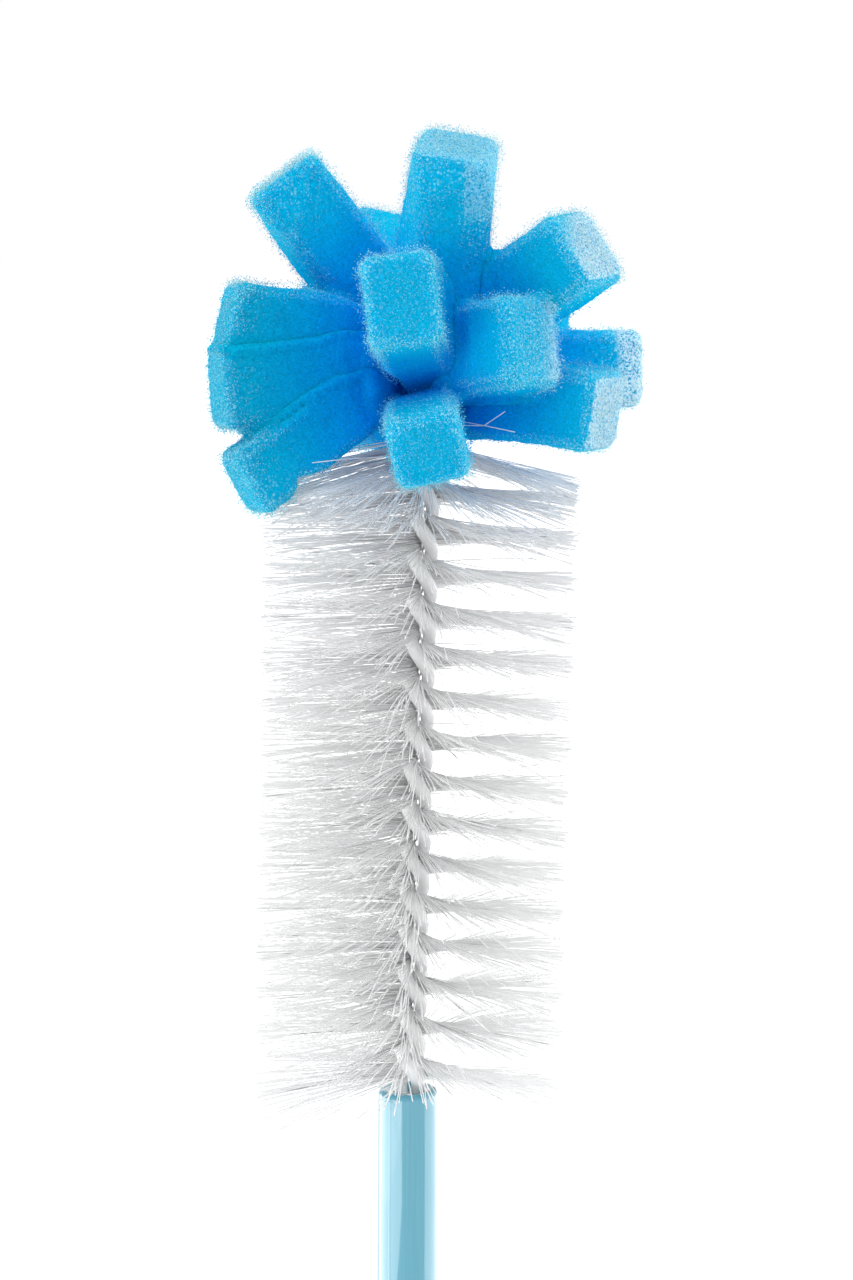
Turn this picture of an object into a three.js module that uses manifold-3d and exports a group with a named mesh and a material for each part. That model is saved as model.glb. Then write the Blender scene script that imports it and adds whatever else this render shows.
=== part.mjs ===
// Bottle brush with a foam head. One hairpin of plastic-coated steel wire, twisted on itself, clamps
// nylon filaments along the stem and nine foam strips in its loop. The tail of the stem sits in the
// socket of a hollow tapered handle, and a plug with a hanging hole closes the handle's end.
// Millimetres, +Z up the brush, origin at the centre of the plug's flat end.

import * as THREE from "three";
import { mergeVertices } from "three/addons/utils/BufferGeometryUtils.js";
import Module from "manifold-3d";

const wasm = await Module();
wasm.setup();

const { degToRad, lerp, smoothstep } = THREE.MathUtils;
const up = new THREE.Vector3(0, 0, 1);

// Clearance between pieces that touch or are pressed together
const fitGap = 0.3;

// How far a cutting body reaches past the faces that it cuts, and how near two points count as one
const cutOver = 3;
const mergeDistance = 1e-4;

// End plug
const plugHeadLength = 13;
const plugEdgeRadius = 1.5;
const spigotLength = 14;
const spigotChamfer = 0.8;
const hangHoleDiameter = 6.4;
const hangHoleSegments = 24;

// Handle tube, seated on the plug's head
const handleLength = 126.7;
const handleEndRadius = 6.3;
const handleWall = 1.8;
const rimWall = 1.88; // around the mouth of the socket
const rimFillet = 0.9;
const socketDepth = 20;
const socketWeb = 3;
const turnedSegments = 40;
const arcSteps = 2; // half the steps of each rounded corner

// Stem: heights above the handle's rim
const stemLean = degToRad(1.4);
const steelDiameter = 1.05;
const coreGap = 0.25; // around the steel in its sleeve
const sleeveWall = 0.35;
const clampPlay = 0.245; // between a strand and the filaments' clamped middles
const loopPlay = 0.475; // between a strand and the foam's clamped middles
const twistPitch = 13.9;
const loopFlare = 4; // run over which the strands part to the wider loop
const loopEase = 5; // run over which the twist dies out below the bend
const stepsPerTurn = 8;
const bendSteps = 6;
const wireSides = 5;

// Filaments
const bristleBottom = 1.8;
const bristleTop = 108.6;
const bristleRadius = 25.4;
const bristleSections = 4;
const strandsPerSide = 42;
const ribbonHalfWidth = 1.5;
const ribbonThickness = 0.26;
const tipShare = 0.9; // a strand's thickness at its tip, against its root
const strandSpread = degToRad(3); // most that a strand tilts up or down
const spreadStep = 0.618; // share of that spread from one strand to the next
const crownDroop = degToRad(14); // extra tilt of the topmost strands, pressed down by the foam
const crownRun = 12;
const skirtDroop = degToRad(7); // extra tilt of the lowest strands, which fan out over the rim
const skirtRun = 5;

// Foam strips, cut from one sheet
const foamWidth = 11;
const foamHeight = 12;
const foamReach = 36; // from the hub to the end of a typical petal
const waistWidth = 2;
const waistRun = 5.2; // from the stem axis to where a pinched strip starts to swell
const waistCorner = 0.5;
const foamCorner = 1.1;
const endBevel = 0.7;
const swellShare = 0.38; // of the way along a petal, where it reaches its full section
const exitPull = 6; // length over which a petal leaves the stem along its waist
const endPull = 12; // length over which its end runs straight
const petalStations = [0.14, 0.28, 0.42, 0.58, 0.78];
const stripsPerTurn = 6;
const foamStandoff = 2.975; // from the topmost filaments to the lowest strip's middle
const hubDrop = 0.84; // from the middle strip down to the hub, where the petals' ends are set out from

// One end of a strip: direction of its end from the hub in degrees, how far the end lies from the hub
// against the usual reach, and its form: roll of the section about its own axis, turn and dip of the
// end away from the hub's direction, width and height against the sheet's, how steeply it leaves the
// stem, and how far out it swells against the usual share.
const plainPetal = { roll: 0, turn: 0, dip: 0, wide: 1, tall: 1, rise: 0, swell: 1 };
const petal = (azimuth, elevation, reach, form = {}) => {
  return { ...plainPetal, ...form, azimuth, elevation, reach: reach * foamReach };
};

// The strips from the lowest waist to the highest. A strip of lower rank keeps its form, and those of
// higher rank are pressed in where they meet it.
const strips = [
  {
    rank: 2,
    ends: [petal(-89.5, -16.3, 0.958, { roll: 14, wide: 0.98, tall: 0.9 }), petal(106, -16, 1)],
  },
  {
    rank: 4,
    ends: [
      petal(-153, -28.5, 1.014, { roll: 6, wide: 0.84, tall: 0.88, rise: 1.3 }),
      petal(56, -9, 1, { roll: -8 }),
    ],
  },
  { rank: 7, ends: [petal(-29, -8, 0.903), petal(148, -11, 0.986, { roll: 8 })] },
  {
    rank: 1,
    ends: [
      petal(-97.5, 22.5, 0.972, { roll: 9, turn: 9, dip: 9, wide: 0.97, tall: 1.14, rise: 1.6 }),
      petal(86, 11, 1, { roll: -6 }),
    ],
  },
  { rank: 8, ends: [petal(-161, -4.5, 0.972, { roll: 4 }), petal(19, 1, 0.986, { roll: -4 })] },
  {
    rank: 3,
    ends: [
      petal(-57, 13.5, 0.847, { roll: -4, turn: 16, wide: 1.06, tall: 1.12 }),
      petal(122, 9, 1, { roll: 10 }),
    ],
  },
  {
    rank: 6,
    ends: [
      petal(-75, 68.5, 1.083, { roll: -24, wide: 1.06, tall: 1.04 }),
      petal(109, 34, 1.014, { roll: 12 }),
    ],
  },
  {
    rank: 9,
    ends: [
      petal(-163, 13, 0.958, { roll: 4, tall: 1.06, swell: 1.7 }),
      petal(56, 15, 1, { roll: 6 }),
    ],
  },
  {
    rank: 5,
    ends: [petal(-36, 35.5, 1.028, { roll: 6, wide: 1.05, tall: 1.03 }), petal(-178, 52, 1.083)],
  },
];

// Places that follow from the sizes above
const rimHeight = plugHeadLength + fitGap + handleLength;
const sleeveBore = steelDiameter + 2 * coreGap;
const sleeveDiameter = sleeveBore + 2 * sleeveWall;
const sleeveRadius = sleeveDiameter / 2;
const stemRadius = sleeveRadius + clampPlay + ribbonThickness / 2; // stem axis to a strand's middle
const loopRadius = sleeveRadius + loopPlay + waistWidth / 2; // the same, where foam is clamped
const socketRadius = stemRadius + sleeveRadius + fitGap + (socketDepth / 2) * Math.tan(stemLean);
const handleRimRadius = socketRadius + rimWall;
const waistPitch = twistPitch / stripsPerTurn;
const waistHeight = waistPitch - 2 * fitGap;
const firstWaist = bristleTop + foamStandoff;
const hubHeight = firstWaist + ((strips.length - 1) / 2) * waistPitch - hubDrop;
const easeStart = firstWaist + (strips.length - 1) * waistPitch + waistHeight / 2;
const bendHeight = easeStart + loopEase;
const loopStart = firstWaist - waistHeight / 2;
const tailHeight = sleeveRadius + fitGap - socketDepth;

const plastic = { metalness: 0 };
const handleBlue = new THREE.MeshStandardMaterial({ ...plastic, color: 0x8fcbdd, roughness: 0.22 });
const wireWhite = new THREE.MeshStandardMaterial({ ...plastic, color: 0xd6dee1, roughness: 0.35 });
const nylonWhite = new THREE.MeshStandardMaterial({ ...plastic, color: 0xeceeef, roughness: 0.3 });
const foamBlue = new THREE.MeshStandardMaterial({ ...plastic, color: 0x12a8e0, roughness: 0.95 });
const steelGrey = new THREE.MeshStandardMaterial({ color: 0x9a9c9e, metalness: 1, roughness: 0.4 });

// A turned solid from a profile of radius and height that starts and ends on the axis
function turned(profile) {
  return new THREE.LatheGeometry(profile.getPoints(arcSteps), turnedSegments).rotateX(Math.PI / 2);
}

function solidOf(geometry) {
  const bare = geometry.clone();
  bare.deleteAttribute("normal");
  bare.deleteAttribute("uv");
  const merged = mergeVertices(bare, mergeDistance);
  const vertProperties = new Float32Array(merged.attributes.position.array);
  const triVerts = new Uint32Array(merged.index.array);
  return new wasm.Manifold(new wasm.Mesh({ numProp: 3, vertProperties, triVerts }));
}

function geometryOf(solid) {
  const { vertProperties, triVerts } = solid.getMesh();
  return indexed(Array.from(vertProperties), Array.from(triVerts));
}

function indexed(positions, triangles) {
  const geometry = new THREE.BufferGeometry();
  geometry.setAttribute("position", new THREE.Float32BufferAttribute(positions, 3));
  geometry.setIndex(triangles);
  geometry.computeVertexNormals();
  return geometry;
}

// A closed skin over rings of equal point count, which run anticlockwise about the way they advance.
// With inner rings it is a sleeve, otherwise its ends are capped.
function skinned(rings, innerRings = null) {
  const count = rings[0].length;
  const last = rings.length - 1;
  const positions = [];
  const triangles = [];
  const quad = (a, b, c, d) => triangles.push(a, b, c, a, c, d);
  const walls = innerRings ? [rings, innerRings] : [rings];
  walls.forEach((wall) => wall.flat().forEach((point) => positions.push(...point.toArray())));
  const at = (wall, ring, k) => (wall * rings.length + ring) * count + (k % count);
  for (let ring = 0; ring < last; ring += 1) {
    for (let k = 0; k < count; k += 1) {
      const next = ring + 1;
      quad(at(0, ring, k), at(0, ring, k + 1), at(0, next, k + 1), at(0, next, k));
      if (innerRings) quad(at(1, ring, k), at(1, next, k), at(1, next, k + 1), at(1, ring, k + 1));
    }
  }
  for (let k = 0; k < count; k += 1) {
    if (innerRings) {
      quad(at(0, 0, k + 1), at(0, 0, k), at(1, 0, k), at(1, 0, k + 1));
      quad(at(0, last, k), at(0, last, k + 1), at(1, last, k + 1), at(1, last, k));
    } else if (k > 1) {
      triangles.push(at(0, 0, 0), at(0, 0, k), at(0, 0, k - 1));
      triangles.push(at(0, last, 0), at(0, last, k - 1), at(0, last, k));
    }
  }
  return indexed(positions, triangles);
}

// Azimuth of the plane of the filaments, which turns left-handed, faces along Y at the lowest strip
// and stops turning at the bend
function twistAt(height) {
  const eased = Math.max(0, height - easeStart);
  const turnedHeight = height - (eased * eased) / (2 * loopEase);
  return Math.PI / 2 - (2 * Math.PI * (turnedHeight - firstWaist)) / twistPitch;
}

const across = (azimuth) => new THREE.Vector3(Math.cos(azimuth), Math.sin(azimuth), 0);

// Direction of an azimuth and elevation in degrees
function pointing(azimuth, elevation) {
  const rise = degToRad(elevation);
  return across(degToRad(azimuth)).multiplyScalar(Math.cos(rise)).setZ(Math.sin(rise));
}

// The middle of the hairpin, station by station: up one strand, over the bend and down the other
function hairpinStations() {
  const steps = Math.ceil(((bendHeight - tailHeight) / twistPitch) * stepsPerTurn);
  const leg = [];
  for (let i = 0; i <= steps; i += 1) {
    const height = lerp(tailHeight, bendHeight, i / steps);
    const radius = lerp(stemRadius, loopRadius, smoothstep(height, loopStart - loopFlare, loopStart));
    const outward = across(twistAt(height) + Math.PI / 2);
    leg.push({ height, radius, outward });
  }
  const place = ({ height, radius, outward }, side) => ({
    middle: outward.clone().multiplyScalar(side * radius).setZ(height),
    inward: outward.clone().multiplyScalar(-side),
  });
  const { outward } = leg[steps];
  const bend = [];
  for (let i = 1; i < bendSteps; i += 1) {
    const angle = (Math.PI * i) / bendSteps;
    const inward = outward.clone().multiplyScalar(-Math.cos(angle)).setZ(-Math.sin(angle));
    const middle = inward.clone().multiplyScalar(-loopRadius);
    middle.z += bendHeight;
    bend.push({ middle, inward });
  }
  return [...leg.map((s) => place(s, 1)), ...bend, ...leg.reverse().map((s) => place(s, -1))];
}

// Rings about the hairpin, each with a flat side towards the other strand
function wireRings(stations, diameter) {
  return stations.map(({ middle, inward }, i) => {
    const before = stations[Math.max(0, i - 1)].middle;
    const after = stations[Math.min(stations.length - 1, i + 1)].middle;
    const along = after.clone().sub(before).normalize();
    const facing = inward.clone().addScaledVector(along, -inward.dot(along)).normalize();
    const beside = along.clone().cross(facing);
    return Array.from({ length: wireSides }, (_, k) => {
      const angle = (Math.PI * (2 * k + 1)) / wireSides;
      return middle
        .clone()
        .addScaledVector(facing, (diameter / 2) * Math.cos(angle))
        .addScaledVector(beside, (diameter / 2) * Math.sin(angle));
    });
  });
}

// Least distance between points of the wire's skin that are more than a turn's share apart along it
function leastGap(rings) {
  const halfway = rings.slice(1).map((ring, i) => ring.map((p, k) => p.clone().lerp(rings[i][k], 0.5)));
  const all = rings.flatMap((ring, i) => (i ? [halfway[i - 1], ring] : [ring]));
  const apart = 2 * stepsPerTurn;
  let least = Infinity;
  for (const [i, ring] of all.entries()) {
    for (const other of all.slice(i + apart)) {
      if (Math.abs(ring[0].z - other[0].z) > twistPitch) continue;
      for (const p of ring) {
        for (const q of other) least = Math.min(least, p.distanceTo(q));
      }
    }
  }
  return least;
}

// One length of the filament row: a twisted ribbon between the strands of the wire. The edge between
// two levels has two triangles, and a strand grows out of one of them.
function bristleGeometry(from, to, firstStrand) {
  const positions = [];
  const triangles = [];
  const vertex = (point) => positions.push(...point.toArray()) / 3 - 1;
  const pointAt = (index) => new THREE.Vector3().fromArray(positions, 3 * index);
  const corners = [
    [1, -1],
    [1, 1],
    [-1, 1],
    [-1, -1],
  ];
  const levels = Array.from({ length: strandsPerSide + 1 }, (_, i) => {
    const height = lerp(from, to, i / strandsPerSide);
    const outward = across(twistAt(height));
    const beside = up.clone().cross(outward);
    return corners.map(([side, face]) => {
      const point = outward.clone().multiplyScalar(side * ribbonHalfWidth);
      point.addScaledVector(beside, face * (ribbonThickness / 2));
      return vertex(point.setZ(height));
    });
  });
  const strand = (root, outward, tilt) => {
    const run = bristleRadius - ribbonHalfWidth;
    const reach = outward.clone().multiplyScalar(run).setZ(run * Math.tan(tilt));
    const points = root.map(pointAt);
    const middle = points[0].clone().add(points[1]).add(points[2]).divideScalar(3);
    const tip = points.map((p) => vertex(p.clone().lerp(middle, 1 - tipShare).add(reach)));
    root.forEach((a, k) => {
      const b = root[(k + 1) % 3];
      triangles.push(a, b, tip[(k + 1) % 3], a, tip[(k + 1) % 3], tip[k]);
    });
    triangles.push(...tip);
  };
  for (let i = 0; i < strandsPerSide; i += 1) {
    const [a, b] = [levels[i], levels[i + 1]];
    const height = lerp(from, to, (i + 0.5) / strandsPerSide);
    const press = smoothstep(height, bristleTop - crownRun, bristleTop) * crownDroop;
    const fan = (1 - smoothstep(height, bristleBottom, bristleBottom + skirtRun)) * skirtDroop;
    for (const side of [0, 1]) {
      const share = ((firstStrand + 2 * i + side) * spreadStep) % 1;
      const tilt = (2 * share - 1) * strandSpread - press - fan;
      const outward = across(twistAt(height) + side * Math.PI);
      const [p, q] = side ? [2, 3] : [0, 1];
      strand([a[p], a[q], b[q]], outward, tilt);
      triangles.push(a[p], b[q], b[p]);
      const [r, s] = side ? [3, 0] : [1, 2];
      triangles.push(a[r], a[s], b[s], a[r], b[s], b[r]);
    }
  }
  const [first, final] = [levels[0], levels[strandsPerSide]];
  triangles.push(first[0], first[2], first[1], first[0], first[3], first[2]);
  triangles.push(final[0], final[1], final[2], final[0], final[2], final[3]);
  return indexed(positions, triangles);
}

// The space under the filaments' crown, which the foam rests on
function crownSpace() {
  const rim = bristleRadius + fitGap;
  const fall = rim * Math.tan(crownDroop - strandSpread);
  const profile = new THREE.Path();
  profile.moveTo(0, 0);
  profile.lineTo(rim, 0);
  profile.lineTo(rim, bristleTop + 2 * fitGap - fall);
  profile.lineTo(0, bristleTop + 2 * fitGap);
  return turned(profile);
}

// Eight points of a foam section with cut corners, in the plane of two directions
function foamSection(middle, sideways, upward, halfWidth, halfHeight, corner) {
  const [w, h] = [halfWidth, halfHeight];
  const outline = [
    [w, corner - h],
    [w, h - corner],
    [w - corner, h],
    [corner - w, h],
    [-w, h - corner],
    [-w, corner - h],
    [corner - w, -h],
    [w - corner, -h],
  ];
  return outline.map(([a, b]) => middle.clone().addScaledVector(sideways, a).addScaledVector(upward, b));
}

// Rings of one petal from its waist to its end, every one wider by grow. Sense is 1 where the strip
// is followed outwards along this petal and -1 where it is followed inwards.
function petalRings(waist, exit, end, grow, sense) {
  const aim = pointing(end.azimuth, end.elevation);
  const facing = pointing(end.azimuth + end.turn, end.elevation - end.dip);
  const start = waist.clone().addScaledVector(exit, waistRun);
  const finish = new THREE.Vector3(0, 0, hubHeight).addScaledVector(aim, end.reach + grow);
  const leave = start.clone().addScaledVector(exit, exitPull).addScaledVector(up, exitPull * end.rise);
  const arrive = finish.clone().addScaledVector(facing, -endPull);
  const path = new THREE.CubicBezierCurve3(start, leave, arrive, finish);
  const bevelAt = 1 - endBevel / path.getLength();
  return [0, ...petalStations, bevelAt, 1].map((u) => {
    const along = path.getTangent(u);
    const upright = up.clone().addScaledVector(along, -along.z).normalize();
    const sideways = upright.clone().cross(along);
    const swell = smoothstep(u, 0, end.swell * swellShare);
    const roll = degToRad(end.roll) * swell;
    const inset = u === 1 ? endBevel : 0;
    const halfWidth = lerp(waistWidth / 2, (end.wide * foamWidth) / 2, swell) - inset + grow;
    const halfHeight = lerp(waistHeight / 2, (end.tall * foamHeight) / 2, swell) - inset + grow;
    const corner = lerp(waistCorner, foamCorner, swell);
    const side = sideways.applyAxisAngle(along, roll).multiplyScalar(sense);
    const top = upright.applyAxisAngle(along, roll);
    return foamSection(path.getPoint(u), side, top, halfWidth, halfHeight, corner);
  });
}

// A strip from the end of one petal through its waist to the end of the other
function stripGeometry(level, grow) {
  const height = firstWaist + level * waistPitch;
  const waist = up.clone().multiplyScalar(height);
  const twist = twistAt(height);
  const [first, second] = strips[level].ends;
  const exit = across(twist).multiplyScalar(Math.sign(Math.cos(degToRad(first.azimuth) - twist)));
  const back = exit.clone().negate();
  const beside = up.clone().cross(back);
  const [halfWidth, halfHeight] = [waistWidth / 2 + grow, waistHeight / 2 + grow];
  const middle = foamSection(waist, beside, up, halfWidth, halfHeight, waistCorner);
  const incoming = petalRings(waist, exit, first, grow, -1).reverse();
  return skinned([...incoming, middle, ...petalRings(waist, back, second, grow, 1)]);
}

// Every strip, pressed in where it meets the wire, the filaments or a strip of lower rank
function foamGeometries(stations) {
  const wire = solidOf(skinned(wireRings(stations, sleeveDiameter + 2 * fitGap)));
  const crown = solidOf(crownSpace());
  const order = strips.map((strip, level) => level).sort((a, b) => strips[a].rank - strips[b].rank);
  const geometries = [];
  let taken = wire.add(crown);
  for (const level of order) {
    geometries[level] = geometryOf(solidOf(stripGeometry(level, 0)).subtract(taken));
    taken = taken.add(solidOf(stripGeometry(level, fitGap)));
  }
  return geometries;
}

function handleGeometry() {
  const radiusAt = (height) => lerp(handleEndRadius, handleRimRadius, height / handleLength);
  const socketFloor = handleLength - socketDepth;
  const hollowTop = socketFloor - socketWeb;
  const profile = new THREE.Path();
  profile.moveTo(0, hollowTop);
  profile.lineTo(radiusAt(hollowTop) - handleWall, hollowTop);
  profile.lineTo(handleEndRadius - handleWall, 0);
  profile.lineTo(handleEndRadius, 0);
  profile.lineTo(radiusAt(handleLength - rimFillet), handleLength - rimFillet);
  profile.absarc(handleRimRadius - rimFillet, handleLength - rimFillet, rimFillet, 0, Math.PI / 2);
  profile.lineTo(socketRadius, handleLength);
  profile.lineTo(socketRadius, socketFloor);
  profile.lineTo(0, socketFloor);
  return turned(profile);
}

function plugGeometry() {
  const spigotRadius = handleEndRadius - handleWall - fitGap;
  const spigotTop = plugHeadLength + spigotLength;
  const taper = ((handleEndRadius - handleRimRadius) / handleLength) * spigotLength;
  const profile = new THREE.Path();
  profile.moveTo(0, 0);
  profile.lineTo(handleEndRadius - plugEdgeRadius, 0);
  profile.absarc(handleEndRadius - plugEdgeRadius, plugEdgeRadius, plugEdgeRadius, -Math.PI / 2, 0);
  profile.lineTo(handleEndRadius, plugHeadLength);
  profile.lineTo(spigotRadius, plugHeadLength);
  profile.lineTo(spigotRadius - taper, spigotTop - spigotChamfer);
  profile.lineTo(spigotRadius - taper - spigotChamfer, spigotTop);
  profile.lineTo(0, spigotTop);
  const holeRadius = hangHoleDiameter / 2;
  const holeLength = 2 * (handleEndRadius + cutOver);
  const hole = new THREE.CylinderGeometry(holeRadius, holeRadius, holeLength, hangHoleSegments);
  hole.translate(0, 0, plugHeadLength / 2);
  return geometryOf(solidOf(turned(profile)).subtract(solidOf(hole)));
}

const group = new THREE.Group();
const stemPivot = new THREE.Group();
const stem = new THREE.Group();
stemPivot.position.z = rimHeight - socketDepth / 2;
stemPivot.rotation.y = stemLean;
stem.position.z = socketDepth / 2;
stemPivot.add(stem);
group.add(stemPivot);

function piece(parent, name, geometry, material, height = 0) {
  const mesh = new THREE.Mesh(geometry, material);
  mesh.name = name;
  mesh.position.z = height;
  parent.add(mesh);
}

piece(group, "handle_end_plug", plugGeometry(), handleBlue);
piece(group, "handle", handleGeometry(), handleBlue, plugHeadLength + fitGap);

const stations = hairpinStations();
const sleeveRings = wireRings(stations, sleeveDiameter);
piece(stem, "wire_coating", skinned(sleeveRings, wireRings(stations, sleeveBore)), wireWhite);
piece(stem, "wire_steel_core", skinned(wireRings(stations, steelDiameter)), steelGrey);
console.log(`least gap of the wire to itself: ${leastGap(sleeveRings).toFixed(2)} mm`);

const sectionLength = (bristleTop - bristleBottom) / bristleSections;
for (let i = 0; i < bristleSections; i += 1) {
  const from = bristleBottom + i * sectionLength + fitGap / 2;
  const geometry = bristleGeometry(from, from + sectionLength - fitGap, 2 * i * strandsPerSide);
  piece(stem, `bristle_section_${i + 1}`, geometry, nylonWhite);
}

foamGeometries(stations).forEach((geometry, level) => {
  piece(stem, `foam_strip_${level + 1}`, geometry, foamBlue);
});

export default group;
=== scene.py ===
import math
import random

import bmesh
import bpy
from mathutils import Matrix, Vector
from mathutils.bvhtree import BVHTree


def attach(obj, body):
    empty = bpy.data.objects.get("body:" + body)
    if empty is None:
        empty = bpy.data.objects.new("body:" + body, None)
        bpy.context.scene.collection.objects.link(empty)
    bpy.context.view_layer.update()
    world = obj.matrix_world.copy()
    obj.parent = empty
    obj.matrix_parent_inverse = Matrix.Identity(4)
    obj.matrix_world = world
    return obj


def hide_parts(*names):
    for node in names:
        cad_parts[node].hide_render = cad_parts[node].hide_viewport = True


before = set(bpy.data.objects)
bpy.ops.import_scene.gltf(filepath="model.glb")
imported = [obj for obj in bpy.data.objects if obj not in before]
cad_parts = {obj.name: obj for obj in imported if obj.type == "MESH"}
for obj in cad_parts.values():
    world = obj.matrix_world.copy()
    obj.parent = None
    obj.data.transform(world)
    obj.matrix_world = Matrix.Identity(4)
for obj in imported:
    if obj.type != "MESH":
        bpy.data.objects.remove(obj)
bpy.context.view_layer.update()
mm = 0.001
noiseLow, noiseHigh = 0.3, 0.7  # between them lies most of a noise texture
scene = bpy.context.scene
scene.view_settings.view_transform = "Standard"


# sRGB hex to the linear colour that shaders use
def linear(code):
    parts = [int(code[i:i + 2], 16) / 255 for i in (1, 3, 5)]
    parts = [p / 12.92 if p <= 0.04045 else ((p + 0.055) / 1.055) ** 2.4 for p in parts]
    return (*parts, 1.0)


def addNode(tree, kind, values=None, links=None, **settings):
    node = tree.nodes.new(kind)
    for key, value in settings.items():
        setattr(node, key, value)
    for socket, value in (values or {}).items():
        node.inputs[socket].default_value = value
    for socket, source in (links or {}).items():
        tree.links.new(source, node.inputs[socket])
    return node


# An empty material with its output, to be filled with one shader
def newMaterial(name):
    material = bpy.data.materials.new(name)
    material.use_nodes = True
    tree = material.node_tree
    tree.nodes.clear()
    return material, tree, addNode(tree, "ShaderNodeOutputMaterial")


def setRamp(ramp, *stops):
    elements = ramp.color_ramp.elements
    while len(elements) < len(stops):
        elements.new(0.5)
    for element, (position, code) in zip(elements, stops):
        element.position = position
        element.color = linear(code)


def meshFrom(bm, name):
    mesh = bpy.data.meshes.new(name)
    bm.to_mesh(mesh)
    bm.free()
    return mesh


def newObject(name, data):
    piece = bpy.data.objects.new(name, data)
    scene.collection.objects.link(piece)
    return piece


# A curve that is bevelled to round strands of a radius in mm
def newCurve(name, radius, roundness):
    curve = bpy.data.curves.new(name, "CURVE")
    curve.dimensions = "3D"
    curve.bevel_depth = radius * mm
    curve.bevel_resolution = roundness
    curve.use_fill_caps = True
    return curve


def addStrand(curve, places):
    spline = curve.splines.new("POLY")
    spline.points.add(len(places) - 1)
    for point, place in zip(spline.points, places):
        point.co = (*place, 1)


# Applies modifiers and curve bevels: the piece becomes a plain mesh under the same name
def flatten(piece):
    name = piece.name
    bpy.context.view_layer.update()
    evaluated = piece.evaluated_get(bpy.context.evaluated_depsgraph_get())
    mesh = bpy.data.meshes.new_from_object(evaluated)
    bpy.data.objects.remove(piece)
    mesh.name = name
    return newObject(name, mesh)


def finishPiece(piece, material, slotName, *replaced):
    piece.data.materials.clear()
    piece.data.materials.append(material)
    for polygon in piece.data.polygons:
        polygon.use_smooth = True
    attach(piece, "root")
    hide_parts(*replaced)
    print("made", piece.name, len(piece.data.polygons), "faces")


# Camera: looks 9 degrees down at the stem
camera = {
    "place": (3.103, -513.598, 297.437),  # mm
    "downward": 9.0,
    "focal": 3170.73,  # pixels of the 853 x 1280 frame
    "frameHeight": 1280,
    "sensor": 36.0,
    "clipStart": 10.0,
}
cameraData = bpy.data.cameras.new("camera")
cameraData.sensor_fit = "VERTICAL"
cameraData.sensor_height = camera["sensor"]
cameraData.lens = camera["focal"] / camera["frameHeight"] * camera["sensor"]
cameraData.clip_start = camera["clipStart"] * mm
cameraObject = newObject("camera", cameraData)
cameraObject.location = Vector(camera["place"]) * mm
cameraObject.rotation_euler = (math.radians(90 - camera["downward"]), 0, 0)
scene.camera = cameraObject
print("camera set")


# Stem: the twisted wire and its lean in the handle's socket, in mm and degrees. Only rim and pivot are
# heights above the floor, the others are above the handle's rim.
stem = {
    "rim": 140.0,
    "pivot": 130.0,
    "lean": 1.4,
    "pitch": 13.9,
    "firstStrip": 111.575,  # height at which the filaments' plane faces along Y
    "strandRadius": 1.15,
    "roundness": 4,
    "pairRadius": 1.5,
    "loopRadius": 2.6,
    "loopStart": 110.7,
    "flare": 4.0,
    "easeStart": 130.97,  # from which the twist runs out towards the bend
    "ease": 5.0,
    "tail": -18.5,
    "stepsPerTurn": 28,
    "bendSteps": 12,
}


def twistAt(height):
    eased = max(0.0, height - stem["easeStart"])
    height -= eased * eased / (2 * stem["ease"])
    return math.pi / 2 - 2 * math.pi * (height - stem["firstStrip"]) / stem["pitch"]


# A point by its distance from the stem's axis, azimuth and height above the rim, in metres
def stemPoint(radius, azimuth, height):
    lean = math.radians(stem["lean"])
    x = radius * math.cos(azimuth)
    y = radius * math.sin(azimuth)
    z = stem["rim"] + height - stem["pivot"]
    turned = (x * math.cos(lean) + z * math.sin(lean), y, z * math.cos(lean) - x * math.sin(lean))
    return (Vector(turned) + Vector((0, 0, stem["pivot"]))) * mm


def smoothStep(value, low, high):
    share = min(1.0, max(0.0, (value - low) / (high - low)))
    return share * share * (3 - 2 * share)


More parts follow.
